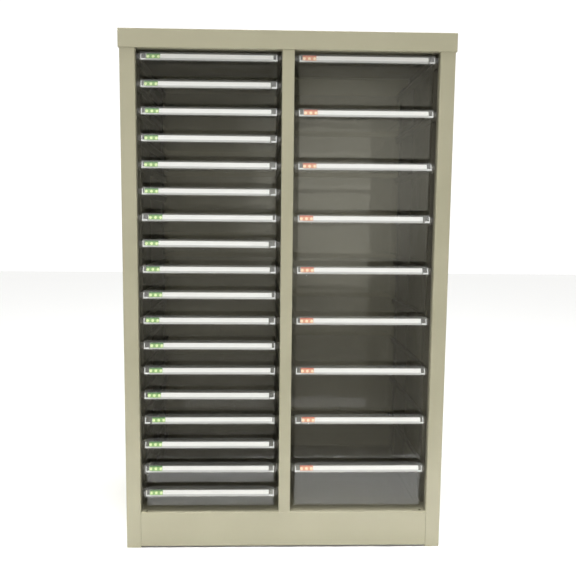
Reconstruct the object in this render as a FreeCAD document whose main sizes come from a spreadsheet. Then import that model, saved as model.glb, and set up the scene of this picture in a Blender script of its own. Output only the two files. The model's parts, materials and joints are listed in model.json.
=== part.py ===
import FreeCAD, Part
import math
import os
import Sketcher

# Two-column steel drawer cabinet: a folded sheet body with 18 slim and 9 deep see-through drawers.
# Frame: origin at the middle of the footprint on the floor, +X to the right, +Y to the back, +Z up.
# The drawers pull out towards -Y. Every size is a cell of the sheet below, in millimetres or degrees.

SLIM_DRAWERS = 18
DEEP_DRAWERS = 9
# The heights of the back panel's beads, as shares of the cabinet's height.
BEAD_PLACES = (0.2, 0.5, 0.8)

SIZES = {
    # overall
    "cab_height": 880, "body_width": 550, "body_depth": 330, "sheet": 1.2,
    # top cover
    "cap_overhang": 2, "cap_skirt": 30, "cap_hem": 15,
    # front frame
    "stile_width": 25, "return_depth": 15, "post_width": 20, "bend": 1.5,
    "fold_round": 1.1,
    "rear_flange": 17, "foot_flange": 24, "frame_gap": 0.2,
    # base pan
    "shelf_height": 64, "kick_lift": 3, "fix_hole_dia": 6, "fix_hole_x": 241, "fix_hole_y": 7,
    # back panel
    "back_sheet": 1, "bead_width": 12, "bead_height": 1.6, "bead_length": 460,
    "bead_round": 1.4,
    # drawer slots
    "slim_pitch": 43.5, "deep_pitch": 87, "opening_width": 240,
    # tray, measured down from the top of its slot and back from the cabinet's front plane
    "tray_width": 231, "tray_front": 14, "tray_back": 320, "tray_wall": 2, "tray_floor": 2,
    "tray_draft": 0.7, "corner_round": 5, "edge_round": 1.2,
    "slim_bottom": 42, "deep_bottom": 85.5,
    "rim_drop": 7.4, "rim_thick": 2, "rim_width": 237, "rim_front": 6.5, "rim_back": 322,
    "lip_width": 238.6, "lip_length": 10, "lip_thick": 1.6, "lip_tilt": 15, "lip_corner": 3,
    "scoop_width": 213, "scoop_drop": 21.6, "scoop_round": 7, "ridge_width": 1.5,
    "ridge_proud": 0.8, "ridge_round": 0.45,
    "gusset_drop": 19, "gusset_margin": 1, "gusset_step": 2, "gusset_taper": 0.6,
    "rib_width": 3, "rib_height": 1.5, "skid_width": 6, "skid_height": 3,
    "skid_offset": 101, "rib_margin": 12,
    # label holder
    "holder_width": 224, "holder_top": 5.5, "holder_leg": 1.8, "holder_back": 17.3, "holder_chamfer": 8,
    "window_front": 5.2, "window_height": 14.5, "window_thick": 1, "foot_thick": 2.2,
    "foot_drop": 0.6, "foot_rise": 1.2, "foot_root": 1.6,
    "end_rim": 1.2, "end_proud": 0.9, "end_block": 10, "block_height": 3, "overlap": 0.5,
    # runners
    "rail_play": 0.3, "rail_width": 4.2, "rail_height": 11.5, "rail_sheet": 1, "rail_front": 20,
    "rail_back": 318, "upright_width": 24, "upright_front": 52, "upright_rear": 282,
    "upright_hole_dia": 4, "upright_hole_drop": 42,
}

doc = FreeCAD.newDocument("DrawerCabinet")


def make_sheet(values):
    """One row per size: its name in column A, its plain number in column B under the same alias."""
    table = doc.addObject("Spreadsheet::Sheet", "Sizes")
    for row, (name, value) in enumerate(values.items(), start=1):
        table.set(f"A{row}", name)
        table.set(f"B{row}", str(value))
        table.setAlias(f"B{row}", name)
    doc.recompute()
    return table


sheet = make_sheet(SIZES)


def cell(text):
    """Turn {name} in an expression into a reference to the sheet's cell of that name."""
    return text.replace("{", "Sizes.").replace("}", "")


def plane_of(body, role):
    """An origin plane of the body, found by its role."""
    return next(f for f in body.Origin.OriginFeatures if f.Role == role)


def make_body(name):
    body = doc.addObject("PartDesign::Body", name)
    body.Label = name
    return body


def polygon_sketch(body, name, role, outlines, offset="0"):
    """A sketch on an origin plane with one closed outline per list of (x, y) expression pairs.

    Every corner is tied to the sketch's origin by two dimensions bound to the sheet, so the lines
    may start anywhere: they are drawn round a circle and the solver takes them to their places.
    """
    sketch = body.newObject("Sketcher::SketchObject", name)
    sketch.AttachmentSupport = [(plane_of(body, role), "")]
    sketch.MapMode = "FlatFace"
    sketch.setExpression("AttachmentOffset.Base.z", cell(offset))
    for points in outlines:
        first = sketch.GeometryCount
        count = len(points)
        start = []
        for index in range(count):
            turn = 2 * math.pi * index / count
            start.append(FreeCAD.Vector(50 * math.cos(turn), 50 * math.sin(turn), 0))
        for index in range(count):
            line = Part.LineSegment(start[index], start[(index + 1) % count])
            sketch.addGeometry(line, False)
        for index in range(count):
            after = first + (index + 1) % count
            sketch.addConstraint(Sketcher.Constraint("Coincident", first + index, 2, after, 1))
        for index, (x_text, y_text) in enumerate(points):
            place = start[index]
            x_tie = Sketcher.Constraint("DistanceX", -1, 1, first + index, 1, place.x)
            y_tie = Sketcher.Constraint("DistanceY", -1, 1, first + index, 1, place.y)
            for tie, text in ((x_tie, x_text), (y_tie, y_text)):
                number = sketch.addConstraint(tie)
                sketch.setExpression(f"Constraints[{number}]", cell(text))
    return sketch


def circle_sketch(body, name, role, centres, diameter, offset="0"):
    """A sketch with one circle per (x, y) expression pair, all of one bound diameter."""
    sketch = body.newObject("Sketcher::SketchObject", name)
    sketch.AttachmentSupport = [(plane_of(body, role), "")]
    sketch.MapMode = "FlatFace"
    sketch.setExpression("AttachmentOffset.Base.z", cell(offset))
    for index, (x_text, y_text) in enumerate(centres):
        start = FreeCAD.Vector(20 * index + 5, 5, 0)
        sketch.addGeometry(Part.Circle(start, FreeCAD.Vector(0, 0, 1), 2), False)
        x_tie = Sketcher.Constraint("DistanceX", -1, 1, index, 3, start.x)
        y_tie = Sketcher.Constraint("DistanceY", -1, 1, index, 3, start.y)
        size = Sketcher.Constraint("Diameter", index, 4)
        for tie, text in ((x_tie, x_text), (y_tie, y_text), (size, diameter)):
            number = sketch.addConstraint(tie)
            sketch.setExpression(f"Constraints[{number}]", cell(text))
    return sketch


def box_outline(x_low, x_high, y_low, y_high):
    return [(x_low, y_low), (x_high, y_low), (x_high, y_high), (x_low, y_high)]


def pad(body, name, sketch, length, symmetric=False, reverse=False, draft=None):
    """Pad a sketch by a bound length, and recompute so that the next feature can read it."""
    feature = body.newObject("PartDesign::Pad", name)
    feature.Profile = sketch
    feature.setExpression("Length", cell(length))
    feature.Reversed = reverse
    if symmetric:
        feature.SideType = "Symmetric"
    if draft:
        feature.setExpression("TaperAngle", cell(draft))
    doc.recompute()
    return feature


def pocket(body, name, sketch, length, reverse=False, draft=None):
    """Cut a sketch out by a bound length, and stop if nothing was removed."""
    before = body.Shape.Volume
    feature = body.newObject("PartDesign::Pocket", name)
    feature.Profile = sketch
    feature.setExpression("Length", cell(length))
    feature.Reversed = reverse
    if draft:
        feature.setExpression("TaperAngle", cell(draft))
    doc.recompute()
    if body.Shape.Volume >= before - 1:
        raise RuntimeError(f"{name} cuts nothing")
    return feature


def round_edges(body, name, base, radius, wanted):
    """Fillet the edges of the body's last feature that the test picks, by a bound radius."""
    names = [f"Edge{n}" for n, edge in enumerate(base.Shape.Edges, start=1) if wanted(edge)]
    if not names:
        raise RuntimeError(f"{name} finds no edge")
    feature = body.newObject("PartDesign::Fillet", name)
    feature.Base = (base, names)
    feature.setExpression("Radius", cell(radius))
    doc.recompute()
    return feature


def along(edge, axis):
    """True for a straight edge along the axis, given as 0, 1 or 2 for X, Y or Z."""
    box = edge.BoundBox
    spans = [box.XLength, box.YLength, box.ZLength]
    own = spans.pop(axis)
    return own > 0.5 and max(spans) < 0.01


def middle(edge):
    return edge.BoundBox.Center


def near(value, target, reach=0.2):
    return abs(value - target) < reach


S = SIZES
FRONT = -S["body_depth"] / 2
HALF = S["body_width"] / 2


# --- cabinet -------------------------------------------------------------------------------------

def make_top_cover():
    """A folded cap: a plate with a skirt on all four sides and a hem over each column's opening."""
    body = make_body("top_cover")
    half_x = "({body_width} / 2 + {cap_overhang})"
    half_y = "({body_depth} / 2 + {cap_overhang})"
    outer = box_outline("-" + half_x, half_x, "-" + half_y, half_y)
    inner = box_outline(
        f"-({half_x} - {{sheet}})", f"{half_x} - {{sheet}}",
        f"-({half_y} - {{sheet}})", f"{half_y} - {{sheet}}")
    base = "{cab_height} - {cap_skirt}"
    block = pad(body, "cap_block", polygon_sketch(body, "cap_plan", "XY_Plane", [outer], base),
                "{cap_skirt}")
    last = round_edges(
        body, "cap_bends", block, "{bend}",
        lambda e: along(e, 2) or near(middle(e).z, S["cab_height"]))
    pocket(body, "cap_hollow", polygon_sketch(body, "cap_inside", "XY_Plane", [inner], base),
           "{cap_skirt} - {sheet}", reverse=True)
    column_inner = "({post_width} / 2 + {frame_gap})"
    column_outer = "({body_width} / 2 - {stile_width} - {frame_gap})"
    front = f"-({half_y} - {{sheet}} / 2)"
    back = "-({body_depth} / 2 - {cap_hem})"
    hems = [
        box_outline("-" + column_outer, "-" + column_inner, front, back),
        box_outline(column_inner, column_outer, front, back)]
    last = pad(body, "cap_hems", polygon_sketch(body, "hem_plan", "XY_Plane", hems, base), "{sheet}")
    round_edges(
        body, "cap_lower_bend", last, "{bend} / 2",
        lambda e: along(e, 0) and near(middle(e).z, S["cab_height"] - S["cap_skirt"])
        and near(middle(e).y, FRONT - S["cap_overhang"]))
    return body


def make_side_panel(name, side):
    """A folded side: outer skin, front stile with a return behind it, rear flange and foot flange.

    side is -1 for the left panel and +1 for the right one.
    """
    body = make_body(name)
    sign = "-" if side < 0 else ""
    skin = f"{sign}({{body_width}} / 2)"
    skin_in = f"{sign}({{body_width}} / 2 - {{sheet}})"
    stile = f"{sign}({{body_width}} / 2 - {{stile_width}})"
    stile_in = f"{sign}({{body_width}} / 2 - {{stile_width}} + {{sheet}})"
    rear = f"{sign}({{body_width}} / 2 - {{rear_flange}})"
    front = "-({body_depth} / 2)"
    front_in = "-({body_depth} / 2 - {sheet})"
    returned = "-({body_depth} / 2 - {return_depth})"
    back = "{body_depth} / 2 - {back_sheet}"
    back_in = "{body_depth} / 2 - {back_sheet} - {sheet}"
    outline = [
        (skin, front), (stile, front), (stile, returned), (stile_in, returned), (stile_in, front_in),
        (skin_in, front_in), (skin_in, back_in), (rear, back_in), (rear, back), (skin, back)]
    sketch = polygon_sketch(body, name + "_profile", "XY_Plane", [outline])
    pad(body, name + "_fold", sketch, "{cab_height} - {sheet}")
    foot_edge = f"{sign}({{body_width}} / 2 - {{foot_flange}})"
    foot = box_outline(foot_edge, skin_in, front_in, back_in)
    sketch = polygon_sketch(body, name + "_foot_plan", "XY_Plane", [foot])
    last = pad(body, name + "_foot", sketch, "{sheet}")
    inner_edge = side * (HALF - S["stile_width"])
    round_edges(
        body, name + "_bends", last, "{fold_round}",
        lambda e: along(e, 2) and near(middle(e).y, FRONT)
        and (near(middle(e).x, side * HALF) or near(middle(e).x, inner_edge)))
    return body


def make_centre_partition():
    """A folded channel, open to the back: its narrow web is the centre post."""
    body = make_body("centre_partition")
    half = "({post_width} / 2)"
    half_in = "({post_width} / 2 - {sheet})"
    front = "-({body_depth} / 2)"
    front_in = "-({body_depth} / 2 - {sheet})"
    back = "{body_depth} / 2 - {back_sheet}"
    outline = [
        ("-" + half, front), (half, front), (half, back), (half_in, back), (half_in, front_in),
        ("-" + half_in, front_in), ("-" + half_in, back), ("-" + half, back)]
    base = "{shelf_height}"
    sketch = polygon_sketch(body, "partition_profile", "XY_Plane", [outline], base)
    last = pad(body, "partition_fold", sketch, "{cab_height} - {sheet} - {shelf_height}")
    round_edges(
        body, "partition_bends", last, "{fold_round}",
        lambda e: along(e, 2) and near(middle(e).y, FRONT))
    return body


def make_back_panel():
    """A flat sheet over the whole back, stiffened by pressed beads across it."""
    body = make_body("back_panel")
    half = "{body_width} / 2"
    plan = box_outline("-" + half, half, "{body_depth} / 2 - {back_sheet}", "{body_depth} / 2")
    sketch = polygon_sketch(body, "back_plan", "XY_Plane", [plan])
    pad(body, "back_plate", sketch, "{cab_height} - {sheet}")
    beads = []
    for share in BEAD_PLACES:
        centre = f"{{cab_height}} * {share}"
        beads.append(box_outline(
            "-({bead_length} / 2)", "{bead_length} / 2",
            f"{centre} - {{bead_width}} / 2", f"{centre} + {{bead_width}} / 2"))
    sketch = polygon_sketch(body, "bead_faces", "XZ_Plane", beads, "-({body_depth} / 2)")
    last = pad(body, "back_beads", sketch, "{bead_height}", reverse=True)
    outer = S["body_depth"] / 2 + S["bead_height"]
    round_edges(body, "bead_rounds", last, "{bead_round}",
                lambda e: near(middle(e).y, outer, 0.05))
    return body


def make_base_pan():
    """The shelf under the lowest drawers, folded down at the front as the kick plate."""
    body = make_body("base_pan")
    narrow = "({body_width} / 2 - {stile_width} - {frame_gap})"
    wide = "({body_width} / 2 - {sheet} - {frame_gap})"
    front = "-({body_depth} / 2)"
    step = "-({body_depth} / 2 - {return_depth} - {frame_gap})"
    back = "{body_depth} / 2 - {back_sheet} - {sheet} - {frame_gap}"
    outline = [
        ("-" + narrow, front), (narrow, front), (narrow, step), (wide, step), (wide, back),
        ("-" + wide, back), ("-" + wide, step), ("-" + narrow, step)]
    top = "{shelf_height} - {sheet}"
    sketch = polygon_sketch(body, "shelf_plan", "XY_Plane", [outline], top)
    pad(body, "shelf", sketch, "{sheet}")
    kick = box_outline("-" + narrow, narrow, front, "-({body_depth} / 2 - {sheet})")
    sketch = polygon_sketch(body, "kick_plan", "XY_Plane", [kick], "{kick_lift}")
    last = pad(body, "kick_plate", sketch, "{shelf_height} - {kick_lift} - {sheet} / 2")
    last = round_edges(
        body, "kick_bend", last, "{fold_round}",
        lambda e: along(e, 0) and near(middle(e).y, FRONT) and near(middle(e).z, S["shelf_height"]))
    hole_y = "-({body_depth} / 2 - {fix_hole_y})"
    centres = [("-{fix_hole_x}", hole_y), ("{fix_hole_x}", hole_y)]
    sketch = circle_sketch(body, "fixing_holes_plan", "XY_Plane", centres, "{fix_hole_dia}",
                           "{shelf_height}")
    pocket(body, "fixing_holes", sketch, "{sheet} * 2")
    return body


def rail_box(name, x_low, x_high, z_top, thick, play=""):
    """One leg of a runner angle, as a box bound to the sheet."""
    leg = doc.addObject("Part::Box", name)
    leg.setExpression("Length", cell(f"({x_high}) - ({x_low})"))
    leg.setExpression("Width", cell("{rail_back} - {rail_front}"))
    leg.setExpression("Height", cell(thick))
    leg.setExpression("Placement.Base.x", cell(x_low))
    leg.setExpression("Placement.Base.y", cell("{rail_front} - {body_depth} / 2"))
    leg.setExpression("Placement.Base.z", cell(f"{z_top} - ({thick}){play}"))
    return leg


def make_runner_rail(name, column, side, slot_top):
    """An angle whose flat leg carries the tray's side flange, with its other leg on the wall below."""
    wall = f"{column} + ({side}) * {{opening_width}} / 2"
    reach = f"{wall} - ({side}) * {{rail_width}}"
    inner = f"{wall} - ({side}) * {{rail_sheet}}"
    top = f"{slot_top} - {{rim_drop}} - {{rim_thick}} - {{rail_play}}"
    flat_low, flat_high = (reach, wall) if side > 0 else (wall, reach)
    wall_low, wall_high = (inner, wall) if side > 0 else (wall, inner)
    flat = rail_box(name + "_flat", flat_low, flat_high, top, "{rail_sheet}")
    drop = rail_box(name + "_wall", wall_low, wall_high, top, "{rail_height}")
    rail = doc.addObject("Part::Fuse", name)
    rail.Base = flat
    rail.Tool = drop
    rail.Refine = True
    return rail


def make_upright(name, side, y_middle):
    """A channel between the side panel and the rails, pierced once per deep pitch."""
    body = make_body(name)
    sign = "-" if side < 0 else ""
    web = f"{sign}({{opening_width}} + {{post_width}} / 2)"
    web_in = f"{sign}({{opening_width}} + {{post_width}} / 2 + {{sheet}})"
    skin = f"{sign}({{body_width}} / 2 - {{sheet}})"
    low = f"({y_middle} - {{body_depth}} / 2 - {{upright_width}} / 2)"
    high = f"({y_middle} - {{body_depth}} / 2 + {{upright_width}} / 2)"
    outline = [
        (web, low), (skin, low), (skin, low + " + {sheet}"), (web_in, low + " + {sheet}"),
        (web_in, high + " - {sheet}"), (skin, high + " - {sheet}"), (skin, high), (web, high)]
    sketch = polygon_sketch(body, name + "_profile", "XY_Plane", [outline], "{shelf_height}")
    pad(body, name + "_fold", sketch, "{cab_height} - {cap_skirt} - {shelf_height}")
    top = "({cab_height} - {cap_skirt})"
    centres = []
    for slot in range(DEEP_DRAWERS):
        centres.append((f"{y_middle} - {{body_depth}} / 2",
                        f"{top} - {{upright_hole_drop}} - {{deep_pitch}} * {slot}"))
    sketch = circle_sketch(body, name + "_holes_face", "YZ_Plane", centres, "{upright_hole_dia}", web)
    pocket(body, name + "_holes", sketch, "{sheet} * 2", reverse=side > 0)
    return body


def make_runner_rails():
    """All runners as one node of separate solids: four uprights and an angle per side per drawer."""
    pieces = []
    for side, column in ((-1, "left"), (1, "right")):
        for where in ("front", "rear"):
            name = f"{column}_{where}_upright"
            pieces.append(make_upright(name, side, "{upright_" + where + "}"))
    top = "{cab_height} - {cap_skirt}"
    left = "-({opening_width} / 2 + {post_width} / 2)"
    right = "({opening_width} / 2 + {post_width} / 2)"
    for number in range(SLIM_DRAWERS):
        for side in (-1, 1):
            slot = f"{top} - {{slim_pitch}} * {number}"
            name = f"slim_rail_{number + 1:02d}_{'left' if side < 0 else 'right'}"
            pieces.append(make_runner_rail(name, left, side, slot))
    for number in range(DEEP_DRAWERS):
        for side in (-1, 1):
            slot = f"{top} - {{deep_pitch}} * {number}"
            name = f"deep_rail_{number + 1}_{'left' if side < 0 else 'right'}"
            pieces.append(make_runner_rail(name, right, side, slot))
    group = doc.addObject("Part::Compound", "runner_rails")
    group.Links = pieces
    group.Label = "runner_rails"
    return group


# --- drawers -------------------------------------------------------------------------------------
# A drawer is drawn with x across its middle, y back from the cabinet's front plane and z up from the
# top of its slot, and is then copied into each slot.

def make_tray(name, bottom):
    """A moulded tray: drafted walls, ribbed floor, side flanges to hang by and a lip to pull."""
    body = make_body(name)
    top = "-({rim_drop} + {rim_thick})"
    half = "({tray_width} / 2)"
    height = f"({bottom} - {{rim_drop}})"
    # The walls are drawn at the rim, where they are widest, and padded down to the floor.
    outer = box_outline("-" + half, half, "{tray_front}", "{tray_back}")
    sketch = polygon_sketch(body, name + "_outline", "XY_Plane", [outer], "-{rim_drop}")
    last = pad(body, name + "_block", sketch, height, reverse=True, draft="-{tray_draft}")
    last = round_edges(
        body, name + "_corners", last, "{corner_round}",
        lambda e: abs(e.BoundBox.ZLength) > 10)
    flange = box_outline("-({rim_width} / 2)", "{rim_width} / 2", "{rim_front}", "{rim_back}")
    sketch = polygon_sketch(body, name + "_rim_plan", "XY_Plane", [flange], "-{rim_drop}")
    last = pad(body, name + "_rim", sketch, "{rim_thick}", reverse=True)
    last = round_edges(
        body, name + "_rim_corners", last, "{corner_round}",
        lambda e: along(e, 2) and near(middle(e).y, S["rim_back"]))
    inner_x = "({tray_width} / 2 - {tray_wall})"
    inner = box_outline("-" + inner_x, inner_x, "{tray_front} + {tray_wall}",
                        "{tray_back} - {tray_wall}")
    sketch = polygon_sketch(body, name + "_inside", "XY_Plane", [inner], "-{rim_drop}")
    last = pocket(body, name + "_hollow", sketch, f"{height} - {{tray_floor}}", draft="-{tray_draft}")
    floor_z = -S["slim_bottom"] if bottom == "{slim_bottom}" else -S["deep_bottom"]
    last = round_edges(
        body, name + "_inner_corners", last, "{corner_round} - {tray_wall}",
        lambda e: e.BoundBox.ZLength > 10 and e.BoundBox.XLength < 3
        and abs(middle(e).x) < S["tray_width"] / 2 - 1.5
        and abs(middle(e).x) > S["tray_width"] / 2 - 4)
    round_edges(
        body, name + "_floor_rounds", last, "{edge_round}",
        lambda e: near(middle(e).z, floor_z) and e.BoundBox.ZLength < 0.1)
    # Ribs on the floor: one down the middle and a flat skid bar towards each side.
    start = "{tray_front} + {tray_wall} + {rib_margin}"
    end = "{tray_back} - {tray_wall} - {rib_margin}"
    floor_top = f"-({bottom}) + {{tray_floor}}"
    rib = box_outline("-({rib_width} / 2)", "{rib_width} / 2", start, end)
    sketch = polygon_sketch(body, name + "_rib_plan", "XY_Plane", [rib], floor_top)
    pad(body, name + "_rib", sketch, "{rib_height}")
    skid_in = "({skid_offset} - {skid_width} / 2)"
    skid_out = "({skid_offset} + {skid_width} / 2)"
    skids = [box_outline("-" + skid_out, "-" + skid_in, start, end),
             box_outline(skid_in, skid_out, start, end)]
    sketch = polygon_sketch(body, name + "_skid_plan", "XY_Plane", skids, floor_top)
    pad(body, name + "_skids", sketch, "{skid_height}")
    # The lip hangs from the front of the rim, tilted so that the label faces up a little.
    tilt_y = "{lip_length} * sin({lip_tilt})"
    tilt_z = "{lip_length} * cos({lip_tilt})"
    thick_y = "{lip_thick} * cos({lip_tilt})"
    thick_z = "{lip_thick} * sin({lip_tilt})"
    lip = [
        ("{rim_front}", "-{rim_drop}"),
        (f"{{rim_front}} - {tilt_y}", f"-{{rim_drop}} - {tilt_z}"),
        (f"{{rim_front}} - {tilt_y} + {thick_y}", f"-{{rim_drop}} - {tilt_z} - {thick_z}"),
        ("{rim_front} + {lip_thick} / cos({lip_tilt})", "-{rim_drop}")]
    sketch = polygon_sketch(body, name + "_lip_profile", "YZ_Plane", [lip])
    last = pad(body, name + "_lip", sketch, "{lip_width}", symmetric=True)
    round_edges(
        body, name + "_lip_corners", last, "{lip_corner}",
        lambda e: e.BoundBox.XLength < 0.1 and e.BoundBox.YLength > 1
        and middle(e).z < -S["rim_drop"] - S["lip_length"] * 0.9
        and near(abs(middle(e).x), S["lip_width"] / 2))
    make_scoop_ridge(body, name, top)
    # A web at each end of the front wall, tapering down from the flange to the tray's side.
    web_in = "({tray_width} / 2 - {tray_wall})"
    web_out = "({rim_width} / 2 - {gusset_margin})"
    webs = []
    for sign in ("-", ""):
        webs.append([
            (sign + web_in, top), (sign + web_out, top), (sign + web_out, top + " - {gusset_step}"),
            (f"{sign}({{tray_width}} / 2 + {{gusset_margin}})", f"{top} - {{gusset_drop}} / 2"),
            (f"{sign}({{tray_width}} / 2 - {{gusset_taper}})", top + " - {gusset_drop}")])
    sketch = polygon_sketch(body, name + "_web_faces", "XZ_Plane", webs, "-{tray_front}")
    pad(body, name + "_webs", sketch, "{tray_wall}", reverse=True)
    return body


def make_scoop_ridge(body, name, top):
    """A raised ridge in the shape of a U round the finger space under the lip."""
    inner = "({scoop_width} / 2)"
    outer = "({scoop_width} / 2 + {ridge_width})"
    inner_low = "-{scoop_drop}"
    outer_low = "-({scoop_drop} + {ridge_width})"
    outline = [
        ("-" + outer, top), ("-" + outer, outer_low), (outer, outer_low), (outer, top),
        (inner, top), (inner, inner_low), ("-" + inner, inner_low), ("-" + inner, top)]
    sketch = polygon_sketch(body, name + "_ridge_face", "XZ_Plane", [outline],
                            "-({tray_front} - {ridge_proud})")
    last = pad(body, name + "_ridge", sketch, "{ridge_proud} + {tray_wall} / 2", reverse=True)
    low = -S["scoop_drop"]
    last = round_edges(
        body, name + "_ridge_inner_corners", last, "{scoop_round}",
        lambda e: along(e, 1) and near(middle(e).z, low)
        and near(abs(middle(e).x), S["scoop_width"] / 2))
    last = round_edges(
        body, name + "_ridge_outer_corners", last, "{scoop_round} + {ridge_width}",
        lambda e: along(e, 1) and near(middle(e).z, low - S["ridge_width"])
        and near(abs(middle(e).x), S["scoop_width"] / 2 + S["ridge_width"]))
    crest = S["tray_front"] - S["ridge_proud"]
    under_rim = -S["rim_drop"] - S["rim_thick"]
    round_edges(
        body, name + "_ridge_rounds", last, "{ridge_round}",
        lambda e: near(middle(e).y, crest, 0.01) and e.BoundBox.YLength < 0.01
        and not near(middle(e).z, under_rim))


def make_label_holder(name):
    """A clear clip over the front rim: a top leg, a tilted window for the label, and a grip foot."""
    body = make_body(name)
    top = "-{holder_top}"
    leg_low = "(-{holder_top} - {holder_leg})"
    sine = "sin({lip_tilt})"
    cosine = "cos({lip_tilt})"
    low_y = f"({{window_front}} - {{window_height}} * {sine})"
    low_z = f"(-{{holder_top}} - {{window_height}} * {cosine})"
    back_y = f"({{window_thick}} / {cosine})"
    profile = [
        ("{holder_back}", top), ("{window_front}", top), (low_y, low_z),
        (f"{low_y} + {{lip_thick}} + {{foot_thick}}", f"{low_z} - {{foot_drop}}"),
        (f"{low_y} + {{lip_thick}} + {{foot_thick}}", f"{low_z} + {{foot_rise}}"),
        (f"{low_y} + {back_y} + {{foot_rise}} * {sine}", f"{low_z} + {{foot_root}}"),
        (f"{{window_front}} + {back_y} - {{holder_leg}} * {sine}", leg_low),
        ("{holder_back}", leg_low)]
    sketch = polygon_sketch(body, name + "_profile", "YZ_Plane", [profile])
    pad(body, name + "_section", sketch, "{holder_width}", symmetric=True)
    # A raised rim closes each end of the window, and a thicker block each end of its foot.
    half = "({holder_width} / 2)"
    rim = [
        ("{window_front} + {overlap}", top), ("{window_front} - {end_proud}", top),
        (f"{low_y} - {{end_proud}}", low_z), (f"{low_y} + {{overlap}}", low_z)]
    block = [
        (f"{low_y} + {{overlap}} + {{block_height}} * {sine}", f"{low_z} + {{block_height}}"),
        (f"{low_y} - {{end_proud}} + {{block_height}} * {sine}", f"{low_z} + {{block_height}}"),
        (f"{low_y} - {{end_proud}}", low_z), (f"{low_y} + {{overlap}}", low_z)]
    for sign in ("-", ""):
        for what, outline, length in (("rim", rim, "{end_rim}"), ("block", block, "{end_block}")):
            end = f"{name}_{what}_{'left' if sign else 'right'}"
            sketch = polygon_sketch(body, end + "_profile", "YZ_Plane", [outline], sign + half)
            pad(body, end, sketch, length, reverse=not sign)
    # The rear corners of the top leg are cut off at a slant.
    corners = []
    for sign in ("-", ""):
        corners.append([
            (f"{sign}({half} + {{overlap}})", "{holder_back} + {overlap}"),
            (f"{sign}({half} - {{holder_chamfer}} - {{overlap}})", "{holder_back} + {overlap}"),
            (f"{sign}({half} + {{overlap}})", "{holder_back} - {holder_chamfer} - {overlap}")])
    sketch = polygon_sketch(body, name + "_corner_cuts", "XY_Plane", corners)
    pocket(body, name + "_corners", sketch, "{holder_top} + {holder_leg} + {overlap}")
    return body


def copy_into_slots(pattern, label, count, digits, column, pitch):
    """One clone of the pattern per slot, placed by the sheet."""
    copies = []
    for number in range(count):
        name = f"{label}_{number + 1:0{digits}d}"
        body = make_body(name)
        clone = doc.addObject("PartDesign::FeatureBase", name + "_clone")
        clone.BaseFeature = pattern
        body.Group = [clone]
        body.Tip = clone
        body.setExpression("Placement.Base.x", cell(column))
        body.setExpression("Placement.Base.y", cell("-{body_depth} / 2"))
        body.setExpression(
            "Placement.Base.z", cell(f"{{cab_height}} - {{cap_skirt}} - {pitch} * {number}"))
        copies.append(body)
    return copies


def build():
    """Make every sub-part and return them in the order that they go together."""
    parts = [
        make_side_panel("left_side_panel", -1),
        make_side_panel("right_side_panel", 1)]
    side_panels = doc.addObject("Part::Compound", "side_panels")
    side_panels.Links = parts
    side_panels.Label = "side_panels"
    nodes = [side_panels, make_base_pan(), make_centre_partition(), make_runner_rails(),
             make_back_panel(), make_top_cover()]
    slim = make_tray("slim_tray_pattern", "{slim_bottom}")
    deep = make_tray("deep_tray_pattern", "{deep_bottom}")
    holder = make_label_holder("label_holder_pattern")
    left = "-({opening_width} + {post_width}) / 2"
    right = "({opening_width} + {post_width}) / 2"
    nodes += copy_into_slots(slim, "slim_drawer", SLIM_DRAWERS, 2, left, "{slim_pitch}")
    nodes += copy_into_slots(holder, "slim_label_holder", SLIM_DRAWERS, 2, left, "{slim_pitch}")
    nodes += copy_into_slots(deep, "deep_drawer", DEEP_DRAWERS, 1, right, "{deep_pitch}")
    nodes += copy_into_slots(holder, "deep_label_holder", DEEP_DRAWERS, 1, right, "{deep_pitch}")
    doc.recompute()
    return nodes


def check(nodes):
    """Stop if any object failed or any sub-part is not a valid solid shape."""
    for item in doc.Objects:
        if "Invalid" in item.State or "Error" in item.State:
            raise RuntimeError(f"{item.Name} failed: {item.State}")
    for node in nodes:
        shape = node.Shape
        if shape.isNull() or not shape.isValid() or not shape.Solids:
            raise RuntimeError(f"{node.Label} has no valid solid")
        box = shape.BoundBox
        print(f"{node.Label}: {len(shape.Solids)} solids, {shape.Volume / 1000:.1f} cm3, "
              f"x {box.XMin:.1f} to {box.XMax:.1f}, y {box.YMin:.1f} to {box.YMax:.1f}, "
              f"z {box.ZMin:.1f} to {box.ZMax:.1f}")


def export(nodes):
    os.makedirs("parts", exist_ok=True)
    for node in nodes:
        node.Shape.exportStep(f"parts/{node.Label}.step")


nodes = build()
check(nodes)
export(nodes)
print(f"{len(nodes)} nodes written")
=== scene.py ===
# %% [markdown]
# # A two-column cabinet of see-through drawers
#
# The real object is a folded steel cabinet that stands on the floor. Twenty-seven smoky styrene
# trays hang on thin steel angles inside it: eighteen slim ones on the left and nine deep ones on
# the right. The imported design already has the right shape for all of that, so this lesson gives
# every piece its finish, adds the small things that a design leaves out, and lights the result.
# The frame is loaded first, and its box is kept, because nothing made here may stick out of it.

# %% Load the frame
import json
import math
import random

import bmesh
import bpy
from mathutils import Matrix, Vector


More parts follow.
